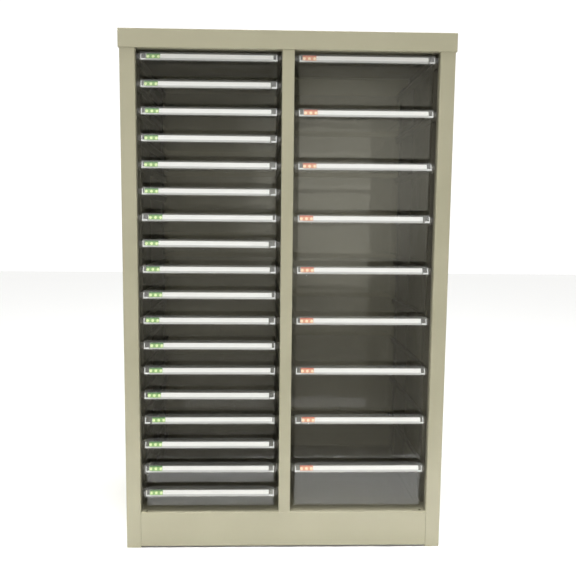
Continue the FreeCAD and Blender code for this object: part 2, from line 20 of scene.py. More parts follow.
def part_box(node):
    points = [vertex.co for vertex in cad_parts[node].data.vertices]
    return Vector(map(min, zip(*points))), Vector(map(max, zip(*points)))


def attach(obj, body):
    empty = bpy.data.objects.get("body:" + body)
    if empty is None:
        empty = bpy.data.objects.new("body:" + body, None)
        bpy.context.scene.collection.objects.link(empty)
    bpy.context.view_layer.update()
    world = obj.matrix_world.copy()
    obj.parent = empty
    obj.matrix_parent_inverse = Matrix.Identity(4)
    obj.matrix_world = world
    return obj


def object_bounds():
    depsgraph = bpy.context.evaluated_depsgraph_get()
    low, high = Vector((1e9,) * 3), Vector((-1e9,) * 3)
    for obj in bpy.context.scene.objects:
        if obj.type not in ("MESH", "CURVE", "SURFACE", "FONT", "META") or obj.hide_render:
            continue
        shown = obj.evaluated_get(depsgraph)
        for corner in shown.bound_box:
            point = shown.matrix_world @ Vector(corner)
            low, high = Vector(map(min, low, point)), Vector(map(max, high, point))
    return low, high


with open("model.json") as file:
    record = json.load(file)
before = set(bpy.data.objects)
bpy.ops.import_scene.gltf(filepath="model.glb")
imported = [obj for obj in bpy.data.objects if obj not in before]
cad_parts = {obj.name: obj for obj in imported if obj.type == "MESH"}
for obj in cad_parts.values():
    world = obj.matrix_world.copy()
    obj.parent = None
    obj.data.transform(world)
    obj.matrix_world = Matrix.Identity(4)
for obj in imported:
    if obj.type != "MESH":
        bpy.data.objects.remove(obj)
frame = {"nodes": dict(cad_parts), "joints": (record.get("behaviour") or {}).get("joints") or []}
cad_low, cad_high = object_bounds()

MM = 0.001
drawers = [joint["child"] for joint in frame["joints"]]
slims = [name for name in drawers if name.startswith("slim")]
deeps = [name for name in drawers if name.startswith("deep")]
print(len(slims), "slim and", len(deeps), "deep drawers in a box of", cad_high - cad_low)

# %% [markdown]
# ## Shader maths as plain expressions
#
# A procedural finish is mostly arithmetic on patterns: take a noise, scale it, add it to a
# brightness. Placed by hand, that is a long row of Math nodes. Here one small class wraps the
# output of a node, and Python's own operators add the nodes, so that `0.4 + noise * 0.1` reads
# as what it does. Every other kind of node comes from the one method `node`, which is given the
# node's type, its settings and what its sockets hold.


# %% The socket class
class Socket:
    """One output of a node. Arithmetic on it adds Math nodes to the same tree."""

    def __init__(self, tree, output):
        self.tree = tree
        self.output = output

    def maths(self, operation, *values):
        sockets = {place: value for place, value in enumerate(values)}
        return node(self.tree, "ShaderNodeMath", {"operation": operation}, sockets)

    def __add__(self, other):
        return self.maths("ADD", self, other)

    def __radd__(self, other):
        return self.maths("ADD", other, self)

    def __sub__(self, other):
        return self.maths("SUBTRACT", self, other)

    def __rsub__(self, other):
        return self.maths("SUBTRACT", other, self)

    def __mul__(self, other):
        return self.maths("MULTIPLY", self, other)

    def __rmul__(self, other):
        return self.maths("MULTIPLY", other, self)

    def __lt__(self, other):
        return self.maths("LESS_THAN", self, other)

    def __gt__(self, other):
        return self.maths("GREATER_THAN", self, other)

    def fraction(self):
        return self.maths("FRACT", self)

    def distance(self):
        return self.maths("ABSOLUTE", self)

    def power(self, exponent):
        return self.maths("POWER", self, exponent)

    def step(self, start, end):
        """0 below start and 1 above end, with a smooth rise between them."""
        settings = {"interpolation_type": "SMOOTHSTEP"}
        sockets = {"Value": self, "From Min": start, "From Max": end}
        return node(self.tree, "ShaderNodeMapRange", settings, sockets)


def node(tree, kind, settings=None, sockets=None, output=0):
    """Adds a node, sets it up, fills or links its sockets and returns one of its outputs."""
    made = tree.nodes.new(kind)
    for name, value in (settings or {}).items():
        setattr(made, name, value)
    for key, value in (sockets or {}).items():
        if isinstance(value, Socket):
            tree.links.new(value.output, made.inputs[key])
        else:
            made.inputs[key].default_value = value
    return Socket(tree, made.outputs[output])


# %% [markdown]
# A finish starts from one Principled shader. Numbers that are the same all over are set on the
# shader's own sockets, and only what changes over the surface is linked. The patterns read
# Object coordinates: every piece here has its place in its mesh, so those are metres from the
# middle of the cabinet's footprint, and a pattern has the same scale on every piece.

# %% Helpers for finishes
# The places of the Mix node's sockets for colours.
MIX_FACTOR, MIX_A, MIX_B, MIX_RESULT = 0, 6, 7, 2
FINISH = "_finish"


def new_finish(name, **constants):
    """A material with one Principled shader, whose constant sockets are set by name."""
    finish = bpy.data.materials.new(name + FINISH)
    finish.use_nodes = True
    shader = finish.node_tree.nodes["Principled BSDF"]
    for key, value in constants.items():
        shader.inputs[key.replace("_", " ")].default_value = value
    return finish, finish.node_tree, shader


def feed(tree, shader, **links):
    for key, socket in links.items():
        tree.links.new(socket.output, shader.inputs[key.replace("_", " ")])


def object_point(tree):
    return node(tree, "ShaderNodeTexCoord", output=3)


def part_of(tree, vector, axis):
    """One part of a vector: 0, 1 or 2 for its X, Y or Z."""
    return node(tree, "ShaderNodeSeparateXYZ", sockets={"Vector": vector}, output=axis)


def noise(tree, point, per_metre, detail=3.0):
    sockets = {"Vector": point, "Scale": per_metre, "Detail": detail}
    return node(tree, "ShaderNodeTexNoise", sockets=sockets)


def stretched(tree, point, scale):
    return node(tree, "ShaderNodeMapping", sockets={"Vector": point, "Scale": scale})


def between(tree, factor, first, second):
    """A colour that goes from first to second as factor goes from 0 to 1."""
    sockets = {MIX_FACTOR: factor, MIX_A: first, MIX_B: second}
    return node(tree, "ShaderNodeMix", {"data_type": "RGBA"}, sockets, MIX_RESULT)


def bump(tree, height, depth, strength):
    sockets = {"Height": height, "Distance": depth, "Strength": strength}
    return node(tree, "ShaderNodeBump", sockets=sockets)


print("maths and colour helpers are ready")

# %% [markdown]
# ## Powder coat
#
# The cabinet is sprayed with a warm grey-beige powder and baked. Up close such a coat is never
# flat: it melts into a fine orange peel about a millimetre or two across, its shade drifts a
# little over a sheet, and hands leave it shinier in places. Four noises do that: a slow one and
# a very fine one for the shade, a middling one for the gloss and a fine one for the peel. A
# Voronoi pattern would give cells with sharp valleys, like hammered paint, so a soft noise is
# the better peel. Near the floor the coat is made a little darker.
#
# Inside the cabinet the coat is painted shade: it is made darker than outside, where little
# light gets in. Low down by the base shelf, which light reaches, the painted shade is half as
# strong, as painted light. How dark, and how much paler by the shelf, was chosen for the tone of
# what shows through the trays. Object coordinates tell the inside from the outside: the boxes of
# the sheets say where it begins, and half a millimetre, less than a sheet's thickness, keeps the
# outer faces out of it.

# %% Powder coat on steel
PAINT_LIGHT = (0.4, 0.378, 0.27, 1)
PAINT_DARK = (0.357, 0.338, 0.234, 1)
# Painted shade: the colour the coat takes inside the cabinet, darker than outside.
INSIDE_PAINTED_SHADE = (0.22, 0.206, 0.145, 1)
PEEL_PER_METRE = 620.0
DARKER_NEAR_FLOOR = 35 * MM
SKIN = 0.5 * MM
FRAME_DEPTH = 7 * MM
BACK_DEPTH = 14 * MM
# Over these heights the painted shade inside comes to full strength; below them, by the base
# shelf, it is half as strong, as painted light.
SHELF_LIGHT_FROM, SHELF_LIGHT_TO = 80 * MM, 140 * MM
sides_low, sides_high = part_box("side_panels")
shelf_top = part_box("base_pan")[1].z


def inside(tree, point):
    """Painted shade: 1 on the inner surfaces apart from the back, half by the base shelf as
    painted light, and 0 elsewhere.
    """
    x, y, z = [part_of(tree, point, axis) for axis in range(3)]
    between_sides = x.distance() < sides_high.x - SKIN
    front_to_back = (y > sides_low.y + FRAME_DEPTH) * (y < sides_high.y - BACK_DEPTH)
    shelf_to_top = (z > shelf_top - SKIN) * (z < cad_high.z - SKIN)
    # Half the painted shade by the base shelf, as painted light there, and all of it higher up.
    painted_shade_strength = 0.5 + z.step(SHELF_LIGHT_FROM, SHELF_LIGHT_TO) * 0.5
    return between_sides * front_to_back * shelf_to_top * painted_shade_strength


def powder_coat(name, light, dark, smooth, rough):
    finish, tree, shader = new_finish(name, IOR=1.5)
    point = object_point(tree)
    drift = noise(tree, point, 4.5)
    smudges = noise(tree, point, 22.0)
    peel = noise(tree, point, PEEL_PER_METRE, 1.0)
    specks = noise(tree, point, 2400.0, 0.0)
    # The coat is made a little darker close to the floor.
    near_floor_darkening = 1 - part_of(tree, point, 2).step(0.0, DARKER_NEAR_FLOOR)
    shade = drift * 0.8 + specks * 0.2 - near_floor_darkening * 0.12
    coat = between(tree, shade.step(0.3, 0.7), dark, light)
    # Inside the cabinet the coat is blended towards the painted shade colour.
    colour = between(tree, inside(tree, point), coat, INSIDE_PAINTED_SHADE)
    roughness = smooth + smudges.step(0.3, 0.75) * (rough - smooth)
    feed(tree, shader, Base_Color=colour, Roughness=roughness,
         Normal=bump(tree, peel, 0.12 * MM, 0.5))
    return finish


painted_steel = powder_coat("painted_steel", PAINT_LIGHT, PAINT_DARK, smooth=0.36, rough=0.5)
print("painted steel:", len(painted_steel.node_tree.nodes), "nodes")

# %% [markdown]
# The runners are the same coat, made much darker than outside as painted shade deep in the
# cabinet, and duller, because the trays rub it each time they slide. Bright streaks along the
# sliding direction would be wear to bare metal, so a stretched noise lets the metal show in thin
# lines on the way in and out. The noise is squeezed across the runner and drawn out along it, as
# real scuffs are.

# %% Runner steel
# Both runner colours are painted shade: the coat made much darker than outside, deep in the
# cabinet.
SHADED_RUNNER_LIGHT = (0.2, 0.19, 0.145, 1)
SHADED_RUNNER_DARK = (0.14, 0.132, 0.1, 1)
BARE_STEEL = (0.34, 0.33, 0.31, 1)


def rubbed_steel(name):
    finish, tree, shader = new_finish(name, IOR=1.5)
    point = object_point(tree)
    drift = noise(tree, point, 6.0)
    scuffs = noise(tree, stretched(tree, point, (900, 14, 900)), 1.0)
    peel = noise(tree, point, PEEL_PER_METRE, 1.0)
    worn = scuffs.step(0.64, 0.7) * 0.6
    paint = between(tree, drift.step(0.3, 0.7), SHADED_RUNNER_DARK, SHADED_RUNNER_LIGHT)
    feed(tree, shader, Base_Color=between(tree, worn, paint, BARE_STEEL),
         Metallic=worn, Roughness=0.52 - worn * 0.2,
         Normal=bump(tree, peel, 0.1 * MM, 0.4))
    return finish


runner_steel = rubbed_steel("runner_steel")
print("runner steel:", len(runner_steel.node_tree.nodes), "nodes")

# %% [markdown]
# ## Smoky and clear styrene
#
# The trays are moulded from smoky see-through styrene, with walls 2 mm thick. Real refraction
# would be the obvious way, but light only reaches the inside of the cabinet through the trays,
# and refraction turns that into slow, noisy caustics. A thin wall hardly bends what is seen
# through it, so each face lets a fixed share of the light straight through, by its Alpha. The
# share is for one face, and a wall has two. What Alpha takes from the gloss is given back by a
# higher index of refraction. The moulded surface is not quite flat, so its reflections waver:
# a slow, wide bump does that. Fine scuffs run along the slide on the walls.

# %% See-through styrene
SMOKE = (0.1, 0.098, 0.08, 1)
SMOKE_DUST = (0.2, 0.195, 0.17, 1)
CLEAR = (0.84, 0.86, 0.84, 1)
CLEAR_DUST = (0.8, 0.8, 0.76, 1)
# A painted highlight: the catches are made milky and nearly white to stand for the glints on the
# clip's ends.
CATCH_HIGHLIGHT = (0.95, 0.96, 0.94, 1)
SMOKE_OPACITY = 0.12


def styrene(name, body, dust, opacity, index, waver):
    """See-through plastic. waver is how deep, in millimetres, its surface swells."""
    finish, tree, shader = new_finish(name, IOR=index, Alpha=opacity)
    point = object_point(tree)
    clouds = noise(tree, point, 26.0)
    scuffs = noise(tree, stretched(tree, point, (420, 12, 420)), 1.0)
    swell = noise(tree, point, 14.0, 1.0)
    film = clouds.step(0.42, 0.8) * 0.45 + scuffs.step(0.62, 0.75) * 0.15
    feed(tree, shader, Base_Color=between(tree, film, body, dust),
         Roughness=0.05 + film * 0.16,
         Normal=bump(tree, swell, waver * MM, 0.6))
    return finish


smoky_tray = styrene(
    "smoky_tray", SMOKE, SMOKE_DUST, opacity=SMOKE_OPACITY, index=4.6, waver=1.0)
clear_holder = styrene("clear_holder", CLEAR, CLEAR_DUST, opacity=0.09, index=5.5, waver=0.3)
# Milky and more opaque than the clip, as a painted highlight at its ends.
painted_highlight_catch = styrene("painted_highlight_catch", CATCH_HIGHLIGHT, CLEAR_DUST, opacity=0.6, index=1.6, waver=0.1)
print("styrene lets", round((1 - SMOKE_OPACITY) ** 2, 2), "of the light through a smoky wall")

# %% [markdown]
# ## Card for the labels
#
# Behind each clear clip lies a strip of white card, grey along its foot, with a ruled line where
# the white begins. A coloured index tab is tucked in at the left; its top is darker, a painted
# shadow. Both patterns belong to the card and not to a place in the cabinet, so they read the
# card's own UV map, where U runs along the card and V up it. The tab's print is three plain pale
# dots: the distance from the middle of each third is worked out from U and V, and a step turns it
# into a disc.

# %% Card finishes
CARD_MAP = "card"
CARD_WHITE = (0.78, 0.78, 0.75, 1)
CARD_GREY = (0.46, 0.46, 0.44, 1)
RULE_GREY = (0.36, 0.36, 0.35, 1)
RULE_AT = 0.3
RULE_HALF = 0.02
DOTS = 3
DOTS_UP = 0.38
DOT_HEART, DOT_EDGE = 0.22, 0.34
DOTS_FROM, DOTS_SHARE = 0.06, 0.88
# Over this share of its height the tab's top turns darker: a painted shadow.
TOP_SHADOW_FROM, TOP_SHADOW_TO = 0.7, 0.84
FIBRES_PER_METRE = 1500.0


def card_share(tree, axis):
    """How far along the card, for 0, or up the card, for 1, a point is, from 0 to 1."""
    return part_of(tree, node(tree, "ShaderNodeUVMap", {"uv_map": CARD_MAP}), axis)


def ruled_card(name):
    finish, tree, shader = new_finish(name, Roughness=0.62, IOR=1.45)
    v = card_share(tree, 1)
    fibres = noise(tree, object_point(tree), FIBRES_PER_METRE)
    below = 1 - v.step(RULE_AT - 0.03, RULE_AT + 0.01)
    line = (v - RULE_AT).distance() < RULE_HALF
    plain = between(tree, below, CARD_WHITE, CARD_GREY)
    feed(tree, shader, Base_Color=between(tree, line * 0.7, plain, RULE_GREY),
         Normal=bump(tree, fibres, 0.03 * MM, 0.5))
    return finish


def dotted_card(name, ink, shaded_top, dot):
    finish, tree, shader = new_finish(name, Roughness=0.55, IOR=1.45)
    u = card_share(tree, 0)
    v = card_share(tree, 1)
    across = ((DOTS_FROM + u * DOTS_SHARE) * DOTS).fraction() - 0.5
    up = v - DOTS_UP
    radius = (across.power(2.0) + up.power(2.0)).power(0.5)
    disc = 1 - radius.step(DOT_HEART, DOT_EDGE)
    colour = between(tree, v.step(TOP_SHADOW_FROM, TOP_SHADOW_TO), ink, shaded_top)
    fibres = noise(tree, object_point(tree), FIBRES_PER_METRE)
    feed(tree, shader, Base_Color=between(tree, disc, colour, dot),
         Normal=bump(tree, fibres, 0.03 * MM, 0.5))
    return finish


label_paper = ruled_card("label_paper")
# Each tab's second colour is the painted shadow along its top.
green_tab = dotted_card(
    "green_tab", (0.2, 0.42, 0.1, 1), (0.035, 0.14, 0.03, 1), (0.72, 0.85, 0.4, 1))
orange_tab = dotted_card(
    "orange_tab", (0.72, 0.3, 0.17, 1), (0.55, 0.12, 0.06, 1), (0.92, 0.72, 0.46, 1))
print("card finishes:", label_paper.name, green_tab.name, orange_tab.name)

# %% [markdown]
# ## Zinc-plated rivets and screws
#
# The runners are riveted to their uprights and the back panel is held by small screws. Their
# zinc is a dull metal with a slightly mottled shade, so it gets full Metallic, a middling
# roughness and a fine noise in both its colour and its gloss.

# %% Zinc plate
ZINC_LIGHT = (0.5, 0.49, 0.46, 1)
ZINC_DARK = (0.3, 0.29, 0.27, 1)


def zinc_plate(name):
    finish, tree, shader = new_finish(name, Metallic=1.0)
    mottle = noise(tree, object_point(tree), 900.0)
    feed(tree, shader, Base_Color=between(tree, mottle.step(0.3, 0.7), ZINC_DARK, ZINC_LIGHT),
         Roughness=0.3 + mottle * 0.25)
    return finish


rivet_steel = zinc_plate("rivet_steel")
print("zinc plate:", len(rivet_steel.node_tree.nodes), "nodes")

# %% [markdown]
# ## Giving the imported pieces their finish
#
# The shapes from the design stay as they are. Each one only swaps its placeholder material for
# one of the finishes above, in its object's own material slots.

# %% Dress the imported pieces
PANELS = ["side_panels", "base_pan", "centre_partition", "back_panel", "top_cover"]


def dress(name, finish):
    for place in frame["nodes"][name].material_slots:
        place.material = finish


def holder_of(drawer):
    return drawer.replace("_drawer_", "_label_holder_")


for name in PANELS:
    dress(name, painted_steel)
dress("runner_rails", runner_steel)
for name in drawers:
    dress(name, smoky_tray)
    dress(holder_of(name), clear_holder)
print("dressed", len(frame["nodes"]), "packed pieces")

# %% [markdown]
# ## Making a new piece
#
# New pieces are modelled with bmesh operators around the origin and then moved to their place.
# The object itself stays at the origin, so that Object coordinates mean the same everywhere.
# Afterwards the piece is told which body it rides on, so that it moves with its drawer.

# %% Helpers for new pieces
SHARP_FROM = math.radians(40)


def block(bm, size, place, round_by):
    """Adds a box with rounded edges."""
    made = bmesh.ops.create_cube(bm, size=1.0)["verts"]
    bmesh.ops.scale(bm, vec=Vector(size), verts=made)
    bmesh.ops.transform(bm, matrix=place, verts=made)
    edges = list(dict.fromkeys(edge for vert in made for edge in vert.link_edges))
    bmesh.ops.bevel(bm, geom=edges, offset=round_by, affect="EDGES", segments=2,
                    profile=0.5, material=-1)


def add_part(bm, part, place):
    """Moves a small finished bmesh to its place and adds it to a bigger one."""
    bmesh.ops.transform(part, matrix=place, verts=part.verts)
    scratch = bpy.data.meshes.new("scratch")
    part.to_mesh(scratch)
    part.free()
    bm.from_mesh(scratch)
    bpy.data.meshes.remove(scratch)


def keep_piece(name, bm, finish, body):
    """Turns a bmesh into an object that rides on a body of the frame."""
    bmesh.ops.recalc_face_normals(bm, faces=bm.faces)
    mesh = bpy.data.meshes.new(name)
    bm.to_mesh(mesh)
    bm.free()
    mesh.materials.append(finish)
    mesh.shade_smooth()
    mesh.set_sharp_from_angle(angle=SHARP_FROM)
    piece = bpy.data.objects.new(name, mesh)
    bpy.context.scene.collection.objects.link(piece)
    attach(piece, body)
    return piece


print("piece helpers are ready")

# %% [markdown]
# ## Where a label sits
#
# The clip's window leans back by 15 degrees, so that a label faces someone who stands in front.
# Between the window and the tray's lip is a gap of 0.75 mm, and the cards stand in it. One
# matrix for each drawer says where that gap is: its X runs along the drawer, its Y goes
# straight into the gap from the front, and its Z goes up along the window. Everything that
# belongs to a label is then modelled flat and stood in the gap with that matrix. The place
# comes from the clip's own box, whose front is the foot of the window.

# %% The gap behind each window
WINDOW_TILT = math.radians(15)
WINDOW_THICK = 1.0 * MM
WINDOW_PROUD = 0.9 * MM
CARD_FOOT = 2.25 * MM


def window_matrix(drawer):
    """Stands a flat shape behind the window: its origin is the middle of the card's foot."""
    low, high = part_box(holder_of(drawer))
    foot = Vector(((low.x + high.x) / 2, low.y + WINDOW_PROUD, low.z))
    lean = Matrix.Rotation(-WINDOW_TILT, 4, "X")
    inwards = Vector((0, WINDOW_THICK, CARD_FOOT))
    return Matrix.Translation(foot) @ lean @ Matrix.Translation(inwards)


low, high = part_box(holder_of(slims[0]))
HOLDER_WIDTH = high.x - low.x
print("clips are", round(HOLDER_WIDTH / MM, 1), "mm wide")

# %% [markdown]
# ## Card strips and index tabs
#
# Nobody slides twenty-seven strips in quite alike: each starts a little further in or out,
# stands a trifle askew and waves a little along its length. A seeded random number gives each
# drawer its own amounts, the same in every run. A strip is a grid of a few faces, bent by a
# sine along its length and then given the thickness of card. Its UV map is written before it is
# bent, while U and V are still the plain shares of its length and height.

# %% A card with its own UV map
CARD_THICK = 0.15 * MM
CARD_SEGMENTS = 16
CARD_WAVES = 3


def card(length, height, bow, turn, middle, depth, place):
    """A thin card, wavy along its length, standing in the gap at a depth from the window."""
    bm = bmesh.new()
    uv = bm.loops.layers.uv.new(CARD_MAP)
    upright = Matrix.Rotation(math.radians(90), 4, "X")
    bmesh.ops.create_grid(bm, x_segments=CARD_SEGMENTS, y_segments=1, size=0.5, matrix=upright)
    for face in bm.faces:
        for corner in face.loops:
            corner[uv].uv = (corner.vert.co.x + 0.5, corner.vert.co.z + 0.5)
    for vert in bm.verts:
        along = vert.co.x + 0.5
        vert.co.y = bow * math.sin(math.pi * along * CARD_WAVES)
        vert.co.x *= length
        vert.co.z = (vert.co.z + 0.5) * height
    whole = bm.verts[:] + bm.edges[:] + bm.faces[:]
    bmesh.ops.solidify(bm, geom=whole, thickness=CARD_THICK)
    stand = Matrix.Translation((middle, depth, 0)) @ Matrix.Rotation(turn, 4, "Y")
    bmesh.ops.transform(bm, matrix=place @ stand, verts=bm.verts)
    return bm


# %% Slide a strip and a tab into every clip
STRIP_LENGTH = 208 * MM
STRIP_HEIGHT = 10.4 * MM
STRIP_INSET = 8 * MM
STRIP_SLIP = 4.5 * MM
STRIP_ASKEW = math.radians(0.12)
STRIP_BOW = 0.06 * MM
STRIP_DEPTH = 0.5 * MM
TAB_LENGTH = 22.5 * MM
TAB_HEIGHT = 8.8 * MM
TAB_RISE = 2.3 * MM
TAB_SLIP = (-0.5 * MM, 0.8 * MM)
TAB_BOW = 0.02 * MM
TAB_DEPTH = 0.2 * MM
TAB_TURN = 3
luck = random.Random(27)

for drawer in drawers:
    place = window_matrix(drawer)
    start = -HOLDER_WIDTH / 2 + STRIP_INSET + luck.uniform(-STRIP_SLIP, STRIP_SLIP)
    askew = luck.uniform(-STRIP_ASKEW, STRIP_ASKEW)
    middle = start + STRIP_LENGTH / 2
    strip = card(STRIP_LENGTH, STRIP_HEIGHT, STRIP_BOW, askew, middle, STRIP_DEPTH, place)
    keep_piece(drawer.replace("drawer", "label_strip"), strip, label_paper, drawer)
    tab_middle = start + TAB_LENGTH / 2 + luck.uniform(*TAB_SLIP)
    tab_place = place @ Matrix.Translation((0, 0, TAB_RISE))
    tab_turn = askew * TAB_TURN
    tab = card(TAB_LENGTH, TAB_HEIGHT, TAB_BOW, tab_turn, tab_middle, TAB_DEPTH, tab_place)
    ink = green_tab if drawer in slims else orange_tab
    keep_piece(drawer.replace("drawer", "index_tab"), tab, ink, drawer)
print("made", 2 * len(drawers), "cards")

# %% [markdown]
# ## Catches at the ends of a clip
#
# The clip would slide off the lip if nothing held it. At each end it has a little catch of
# styrene, a post with a foot that snaps into the lip, and it is what shows beside the end of the
# card. Its styrene is made milky and nearly white, brighter than the clear window in front of it,
# as a painted highlight for the glints on the clip's ends.
# Both catches of a clip are one piece: each is two rounded blocks.

# %% Clip catches
POST_SIZE = (1.5 * MM, 0.5 * MM, 10.4 * MM)
POST_FROM_END = 1.15 * MM
FOOT_SIZE = (7.2 * MM, 0.5 * MM, 2.6 * MM)
CATCH_DEPTH = 0.34 * MM
CATCH_ROUND = 0.12 * MM


def clip_catches(drawer):
    bm = bmesh.new()
    place = window_matrix(drawer)
    for side in (-1, 1):
        x = side * (HOLDER_WIDTH / 2 - POST_FROM_END)
        post = Matrix.Translation((x, CATCH_DEPTH, POST_SIZE[2] / 2))
        block(bm, POST_SIZE, place @ post, CATCH_ROUND)
        x -= side * (POST_SIZE[0] + FOOT_SIZE[0]) / 2
        foot = Matrix.Translation((x, CATCH_DEPTH, FOOT_SIZE[2] / 2))
        block(bm, FOOT_SIZE, place @ foot, CATCH_ROUND)
    name = drawer.replace("drawer", "clip_catches")
    keep_piece(name, bm, painted_highlight_catch, drawer)


for drawer in drawers:
    clip_catches(drawer)
print("made catches for", len(drawers), "clips")

# %% [markdown]
# ## Rivets
#
# Every runner is fixed by two rivets, one near its front and one near its back, with low round
# heads on the side of the tray. On the outer side of a column they go into an upright, and by
# the middle into the partition. A head is the cap of a sphere: a coarse UV sphere is flattened,
# the half that would lie in the steel is cut off with bisect_plane, and the cut is filled. There
# are over a hundred, so each has only a few dozen faces, and all together are one piece.

# %% Rivets on the runners
RIVET_RADIUS = 2.4 * MM
RIVET_PROUD = 0.9 * MM
RIVET_SIDES = 10
RIVET_RINGS = 6
RIVET_CUT = 0.00001 * MM
UPRIGHT_Y = (-113 * MM, 117 * MM)
RUNNER_HALF = 119 * MM
RIVET_DROP = 15.2 * MM
CLIP_DROP = 5.5 * MM


def rivet_head():
    """A low dome on the plane Z = 0, its rim on that plane."""
    head = bmesh.new()
    bmesh.ops.create_uvsphere(
        head, u_segments=RIVET_SIDES, v_segments=RIVET_RINGS, radius=RIVET_RADIUS)
    bmesh.ops.scale(head, vec=(1, 1, RIVET_PROUD / RIVET_RADIUS), verts=head.verts)
    whole = head.verts[:] + head.edges[:] + head.faces[:]
    bmesh.ops.bisect_plane(head, geom=whole, plane_co=(0, 0, 0), plane_no=(0, 0, 1),
                           clear_inner=True, dist=RIVET_CUT)
    rim = [edge for edge in head.edges if edge.is_boundary]
    bmesh.ops.holes_fill(head, edges=rim)
    return head


def runner_rivets():
    bm = bmesh.new()
    for drawer in drawers:
        low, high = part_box(drawer)
        column = (low.x + high.x) / 2
        slot_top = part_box(holder_of(drawer))[1].z + CLIP_DROP
        for side in (-1, 1):
            for y in UPRIGHT_Y:
                spot = Vector((column + side * RUNNER_HALF, y, slot_top - RIVET_DROP))
                face_in = Matrix.Rotation(-side * math.radians(90), 4, "Y")
                add_part(bm, rivet_head(), Matrix.Translation(spot) @ face_in)
    return keep_piece("runner_rivets", bm, rivet_steel, "cabinet")


rivets = runner_rivets()
print("runner rivets:", len(rivets.data.polygons), "faces")

# %% [markdown]
# ## Screws in the back panel
#
# The back is a thin pressed sheet, screwed to the flanges of the sides. A pan head is drawn ring
# by ring: its flat top is what lies between a circle and a plus shape, filled with triangles.
# The plus is then pushed down to make the cross recess, and the circle is drawn outwards and
# down in three steps to make the rounded shoulder. Every step extrudes a ring of edges.

# %% Pan-head screws
SCREW_RADIUS = 3.4 * MM
SCREW_PROUD = 1.3 * MM
CROSS_ARM = 1.7 * MM
CROSS_HALF = 0.35 * MM
CROSS_DEEP = 0.7 * MM
CROSS_TAPER = 0.8
# How much each step widens the head, and the share of its height that the step goes down.
SHOULDER = ((1.15, -0.2), (1.07, -0.35), (1.0, -0.45))
SCREW_SIDES = 20
SCREW_INSET = 9 * MM
PANEL_THICK = 1 * MM
SCREWS_UP = 5


def ring(bm, points):
    """A closed ring of edges through the points."""
    verts = [bm.verts.new(point) for point in points]
    return [bm.edges.new((verts[place - 1], vert)) for place, vert in enumerate(verts)]


def draw_on(bm, edges, widen, rise):
    """Extrudes a ring, widens and lifts the new ring, and returns it."""
    made = bmesh.ops.extrude_edge_only(bm, edges=edges)["geom"]
    verts = {part for part in made if isinstance(part, bmesh.types.BMVert)}
    bmesh.ops.scale(bm, vec=(widen, widen, 1), verts=list(verts))
    bmesh.ops.translate(bm, vec=(0, 0, rise), verts=list(verts))
    edges = [part for part in made if isinstance(part, bmesh.types.BMEdge)]
    return [edge for edge in edges if verts.issuperset(edge.verts)]


def pan_head():
    """A head on the plane Z = 0. The shoulder widens the circle to the full radius."""
    bm = bmesh.new()
    turn_by = math.tau / SCREW_SIDES
    turns = [Matrix.Rotation(turn_by * step, 3, "Z") for step in range(SCREW_SIDES)]
    top_radius = SCREW_RADIUS / math.prod(widen for widen, rise in SHOULDER)
    circle = ring(bm, [turn @ Vector((top_radius, 0, SCREW_PROUD)) for turn in turns])
    arm = [(CROSS_ARM, -CROSS_HALF), (CROSS_ARM, CROSS_HALF), (CROSS_HALF, CROSS_HALF)]
    quarters = turns[::SCREW_SIDES // 4]
    plus = ring(bm, [turn @ Vector((x, y, SCREW_PROUD)) for turn in quarters for x, y in arm])
    bmesh.ops.triangle_fill(bm, use_beauty=True, edges=circle + plus)
    bmesh.ops.edgeloop_fill(bm, edges=draw_on(bm, plus, CROSS_TAPER, -CROSS_DEEP))
    for widen, rise in SHOULDER:
        circle = draw_on(bm, circle, widen, rise * SCREW_PROUD)
    bmesh.ops.edgeloop_fill(bm, edges=circle)
    return bm


def back_screws():
    bm = bmesh.new()
    low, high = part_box("back_panel")
    outwards = Matrix.Rotation(math.radians(-90), 4, "X")
    back_y = low.y + PANEL_THICK
    bottom, top = low.z + SCREW_INSET, high.z - SCREW_INSET
    step = (top - bottom) / (SCREWS_UP - 1)
    up_a_side = [bottom + step * count for count in range(SCREWS_UP)]
    columns = ((low.x + SCREW_INSET, up_a_side), (0.0, (bottom, top)),
               (high.x - SCREW_INSET, up_a_side))
    for x, heights in columns:
        for z in heights:
            add_part(bm, pan_head(), Matrix.Translation((x, back_y, z)) @ outwards)
    return keep_piece("back_panel_screws", bm, rivet_steel, "cabinet")


screws = back_screws()
print("back panel screws:", len(screws.data.polygons), "faces")

# %% [markdown]
# ## Floor
#
# The cabinet stands on a plain pale floor. Smoky faces mirror a floor: the lowest drawers catch
# the part right in front of the cabinet, and the middle ones the part further out. In a studio
# a black cloth could lie further out, to keep the middle faces from going milky. Here the floor
# is two sheets of the same paint, and the one further out is hidden from mirror rays alone.
# Both lie a hair below the feet, so that no two faces share a place.

# %% Floor
FLOOR_PAINT = (0.93, 0.93, 0.92, 1)
FLOOR_HALF = 6.0
FLOOR_SPLIT = -0.53
FLOOR_DROP = 0.2 * MM


def pale_floor(name, near_y, far_y, mirrored):
    bm = bmesh.new()
    size = Matrix.Diagonal((FLOOR_HALF, (far_y - near_y) / 2, 1, 1))
    middle = Matrix.Translation((0, (near_y + far_y) / 2, 0))
    bmesh.ops.create_grid(bm, x_segments=1, y_segments=1, size=1, matrix=middle @ size)
    mesh = bpy.data.meshes.new(name)
    bm.to_mesh(mesh)
    bm.free()
    mesh.materials.append(floor_paint)
    floor = bpy.data.objects.new(name, mesh)
    floor.location.z = -FLOOR_DROP
    floor.visible_glossy = mirrored
    bpy.context.scene.collection.objects.link(floor)


